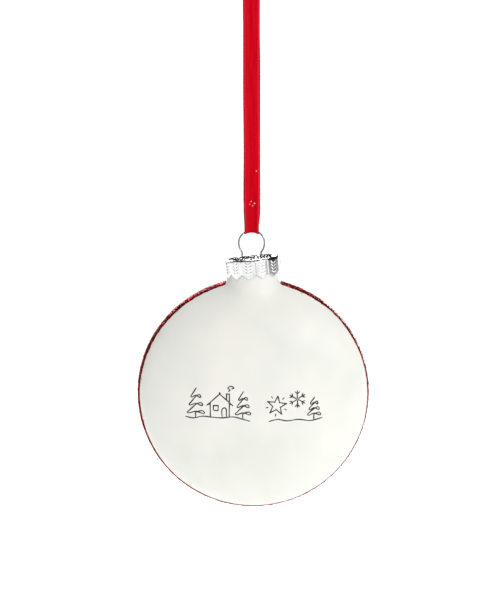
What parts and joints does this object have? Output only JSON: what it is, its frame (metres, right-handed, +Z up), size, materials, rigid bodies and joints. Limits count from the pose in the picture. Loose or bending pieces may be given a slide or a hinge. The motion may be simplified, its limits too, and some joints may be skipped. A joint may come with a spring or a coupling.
{
  "type": "flat glass disc ornament",
  "caption": "Flat, hollow glass disc ornament with a silvered crown cap, a sprung wire hanger and a loop of red velvet ribbon.",
  "frame": {"origin": "inside of the ribbon loop's top, where a branch or a hook carries the ornament", "axes": "+Z up, along the hanging direction; -Y the printed front of the disc; +X to the right seen from the front"},
  "size_m": [0.1008, 0.0415, 0.2398],
  "materials": {
    "blown_glass": "clear soda-lime glass, blown",
    "pearl_lacquer": "satin pearl lacquer",
    "red_glitter": "cut film glitter bedded in glue",
    "silvered_tinplate": "stamped, bright silvered",
    "spring_wire": "drawn, plated",
    "velvet_ribbon": "short pile velvet with a woven selvedge",
    "sewing_thread": "spun polyester",
    "printed_ink": "pad-printed line"
  },
  "bodies": {
    "ribbon": {"ribbon_loop": "velvet_ribbon", "ribbon_stitching": "sewing_thread"},
    "hanger": {"hanger_wire": "spring_wire"},
    "cap": {"crown_cap": "silvered_tinplate"},
    "bauble": {"glass_bauble": "blown_glass", "pearl_coat": "pearl_lacquer", "glitter_coat": "red_glitter"}
  },
  "joints": [
    {"name": "ring_swing", "type": "hinge", "parent": "ribbon", "child": "hanger", "pos_m": [0, 0, -0.1179], "axis": [1, 0, 0], "range_deg": [-60, 60]},
    {"name": "cap_on_legs", "type": "slide", "parent": "hanger", "child": "cap", "axis": [0, 0, 1], "range_m": [0, 0.002]},
    {"name": "bauble_pull_off", "type": "slide", "parent": "cap", "child": "bauble", "axis": [0, 0, -1], "range_m": [0, 0.03]}
  ]
}
